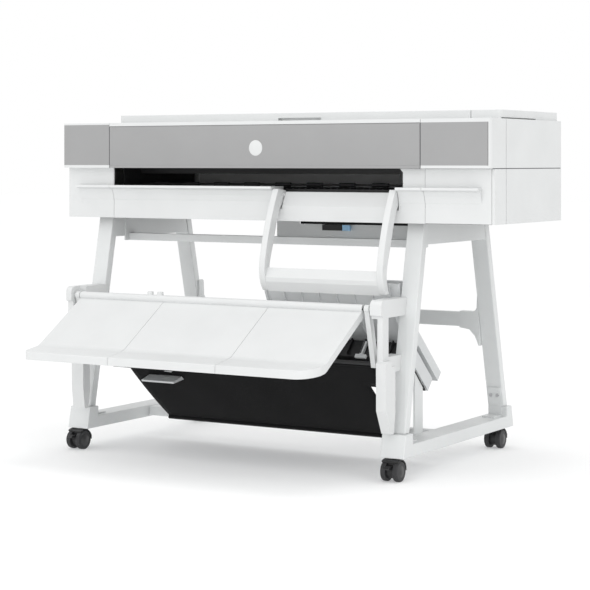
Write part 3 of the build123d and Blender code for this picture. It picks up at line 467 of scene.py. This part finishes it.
# ------------------------------------------------------------------ casters
def hub_caps():
    """A raised cap on the outside of every caster wheel."""
    for corner in ("front_left", "front_right", "rear_left", "rear_right"):
        low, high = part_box(corner + "_wheels")
        joint = next(j for j in frame["joints"] if j["name"] == corner + "_roll")
        axle = Vector(joint["axis"]).normalized()
        half = (high.x - low.x) / 2 * 0.985      # a turned pair is a little narrower than its box
        cap = [(0, half + 1.4 * MM), (7 * MM, half + 1.4 * MM), (8.5 * MM, half + 0.6 * MM),
               (15 * MM, half + 0.3 * MM), (17 * MM, half - 0.8 * MM), (17 * MM, half - 2 * MM)]
        work = bmesh.new()
        for side in (1, -1):
            add_turned(work, [(radius, side * along) for radius, along in cap], (0, 0, 0), steps=40)
        turn = Vector((1, 0, 0)).rotation_difference(axle)
        bmesh.ops.rotate(work, cent=(0, 0, 0), matrix=turn.to_matrix(), verts=work.verts)
        bmesh.ops.translate(work, vec=(low + high) / 2, verts=work.verts)
        add_piece(corner + "_hub_caps", work, "hub_grey", corner + "_roll", smooth=40)


# ------------------------------------------------------------------ catch sheet
def catch_cloth():
    """The black cloth between its two rods, with an ear at each upper corner and a slight sag."""
    low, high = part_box("catch_sheet")
    rod = 3 * MM                                 # from the edges of the CAD's slab to its rods
    top = Vector((0, low.y + rod, high.z - rod))
    bottom = Vector((0, high.y - rod, low.z + rod))
    length = (bottom - top).length
    left, right = low.x + 62 * MM, high.x - 42 * MM            # the cloth between its ears
    ear = 92 * MM                                # how far down the ears reach
    sag, ripple, ripples = 7 * MM, 1.2 * MM, 4.5
    normal = Vector((1, 0, 0)).cross(bottom - top).normalized()    # up, off the sheet
    columns, ear_rows, rows = 40, 6, 18
    xs = [left + (right - left) * k / columns for k in range(columns + 1)]
    xs = [low.x, (low.x + left) / 2, *xs, (right + high.x) / 2, high.x]
    ear_columns = 2
    vs = [ear * k / ear_rows for k in range(ear_rows)]
    vs += [ear + (length - ear) * k / rows for k in range(rows + 1)]
    work = bmesh.new()
    grid = {}

    def vert(i, j):
        """The cloth's vertex in column i and row j, made when it is first needed."""
        if (i, j) not in grid:
            share = vs[j] / length
            across = (xs[i] - left) / (right - left)
            drop = sag * 4 * share * (1 - share)
            drop += ripple * math.sin(across * ripples * 2 * math.pi) * math.sin(share * math.pi)
            spot = top.lerp(bottom, share) - normal * drop
            grid[i, j] = work.verts.new((xs[i], spot.y, spot.z))
        return grid[i, j]

    for i in range(len(xs) - 1):
        between_ears = ear_columns <= i < ear_columns + columns
        for j in range(len(vs) - 1):
            if between_ears or j < ear_rows:
                work.faces.new((vert(i, j), vert(i + 1, j), vert(i + 1, j + 1), vert(i, j + 1)))
    cloth = add_piece("catch_cloth", work, "black_cloth", "stand", smooth=60)
    solid = cloth.modifiers.new("thickness", "SOLIDIFY")
    solid.thickness = 0.9 * MM
    solid.offset = 0
    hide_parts("catch_sheet")
    hems = [catch_hem("catch_top_hem", top, low.x, high.x), catch_hem("catch_low_hem", bottom, left, right)]


def catch_hem(name, rod, x0, x1):
    """A sleeve sewn round a rod from x0 to x1, slightly uneven along its length."""
    radius = 6.4 * MM
    steps, sides = 60, 20
    work = bmesh.new()
    rings = []
    for step in range(steps + 1):
        x = x0 + (x1 - x0) * step / steps
        swell = 1 + 0.05 * math.sin(step * 1.7) + 0.03 * math.sin(step * 4.1)
        angles = [2 * math.pi * k / sides for k in range(sides)]
        rings.append([work.verts.new((x, rod.y + radius * swell * math.cos(angle),
                                      rod.z + radius * swell * math.sin(angle))) for angle in angles])
    for here, there in zip(rings, rings[1:]):
        for k in range(sides):
            n = (k + 1) % sides
            work.faces.new((here[k], here[n], there[n], there[k]))
    work.faces.new(rings[0])
    work.faces.new(rings[-1])
    return add_piece(name, work, "black_cloth", "stand", smooth=50)


# ------------------------------------------------------------------ room, light and camera
def floor():
    """A plain pale floor, which glows a little so that shadows stay light."""
    material, tree, shader, coords = new_material("floor")
    tone = ramp_between(tree, noise_node(tree, coords, 1.5), (0.73, 0.73, 0.725), (0.75, 0.75, 0.745))
    tree.links.new(tone, shader.inputs["Base Color"])
    shader.inputs["Roughness"].default_value = 0.9
    shader.inputs["Specular IOR Level"].default_value = 0.0
    shader.inputs["Emission Color"].default_value = (0.97, 0.98, 1.0, 1)
    shader.inputs["Emission Strength"].default_value = 0.275
    half = 30.0
    corners = [(-half, -half, 0), (half, -half, 0), (half, half, 0), (-half, half, 0)]
    mesh = bpy.data.meshes.new("floor")
    mesh.from_pydata(corners, [], [(0, 1, 2, 3)])
    mesh.materials.append(material)
    obj = bpy.data.objects.new("floor", mesh)
    bpy.context.scene.collection.objects.link(obj)


def area_light(name, place, target, size, power):
    """A square soft light aimed at a point, its size in metres and its power in watts."""
    light = bpy.data.lights.new(name, "AREA")
    light.size = size
    light.energy = power
    obj = bpy.data.objects.new(name, light)
    obj.location = place
    obj.rotation_mode = "QUATERNION"
    obj.rotation_quaternion = (Vector(target) - Vector(place)).to_track_quat("-Z", "Y")
    bpy.context.scene.collection.objects.link(obj)


def studio():
    """Even white surroundings, with soft lights above, in front, at the right and low in front."""
    world = bpy.data.worlds.new("studio")
    bpy.context.scene.world = world
    world.use_nodes = True
    world.node_tree.nodes["Background"].inputs["Color"].default_value = (1, 1, 1, 1)
    world.node_tree.nodes["Background"].inputs["Strength"].default_value = 1.0
    area_light("key", (-0.4, -3.2, 3.6), (0, 0, 0.5), size=2.5, power=20)
    area_light("front", (1.8, -4.2, 1.2), (0, 0, 0.5), size=2.0, power=14)
    area_light("top", (0.3, -0.1, 3.3), (0.1, -0.1, 0), size=1.2, power=12)
    area_light("side", (3.6, 0.4, 1.0), (0.3, 0, 0.5), size=2.5, power=5)
    area_light("low", (0.9, -3.4, 0.42), (0.15, 0, 0.63), size=0.7, power=5)
    bpy.context.scene.view_settings.view_transform = "Standard"


def camera():
    """A level camera to the right of the front, as high as the printer's waist."""
    zoom = 3.0068                                # the lens's length over the picture's width
    data = bpy.data.cameras.new("camera")
    data.sensor_width = 36.0
    data.lens = data.sensor_width * zoom
    data.shift_y = -0.2259                       # moves the picture down from eye level
    data.clip_end = 200.0
    obj = bpy.data.objects.new("camera", data)
    obj.location = (2.631, -4.3205, 0.839)
    obj.rotation_euler = (math.radians(90), 0, math.radians(31.02))
    bpy.context.scene.collection.objects.link(obj)
    bpy.context.scene.camera = obj


# ------------------------------------------------------------------ the whole scene
slot_of = {part["node"]: part["material_slot"] for part in frame["record"]["subparts"]}
for node, obj in nodes.items():
    dress(obj, slot_of[node])
for radius, soft_nodes in SOFT_EDGES.items():
    for node in soft_nodes:
        soften(nodes[node], radius)
nodes["catch_frame"].data.materials[0] = catch_frame_look()
door_skin()
badge()
slot_guides()
star_wheels()
hub_caps()
panel_glass()
ramp_shade_plate()
box_shade_sheets()
side_groove_shade()
front_gap_shade()
catch_cloth()
floor()
studio()
camera()
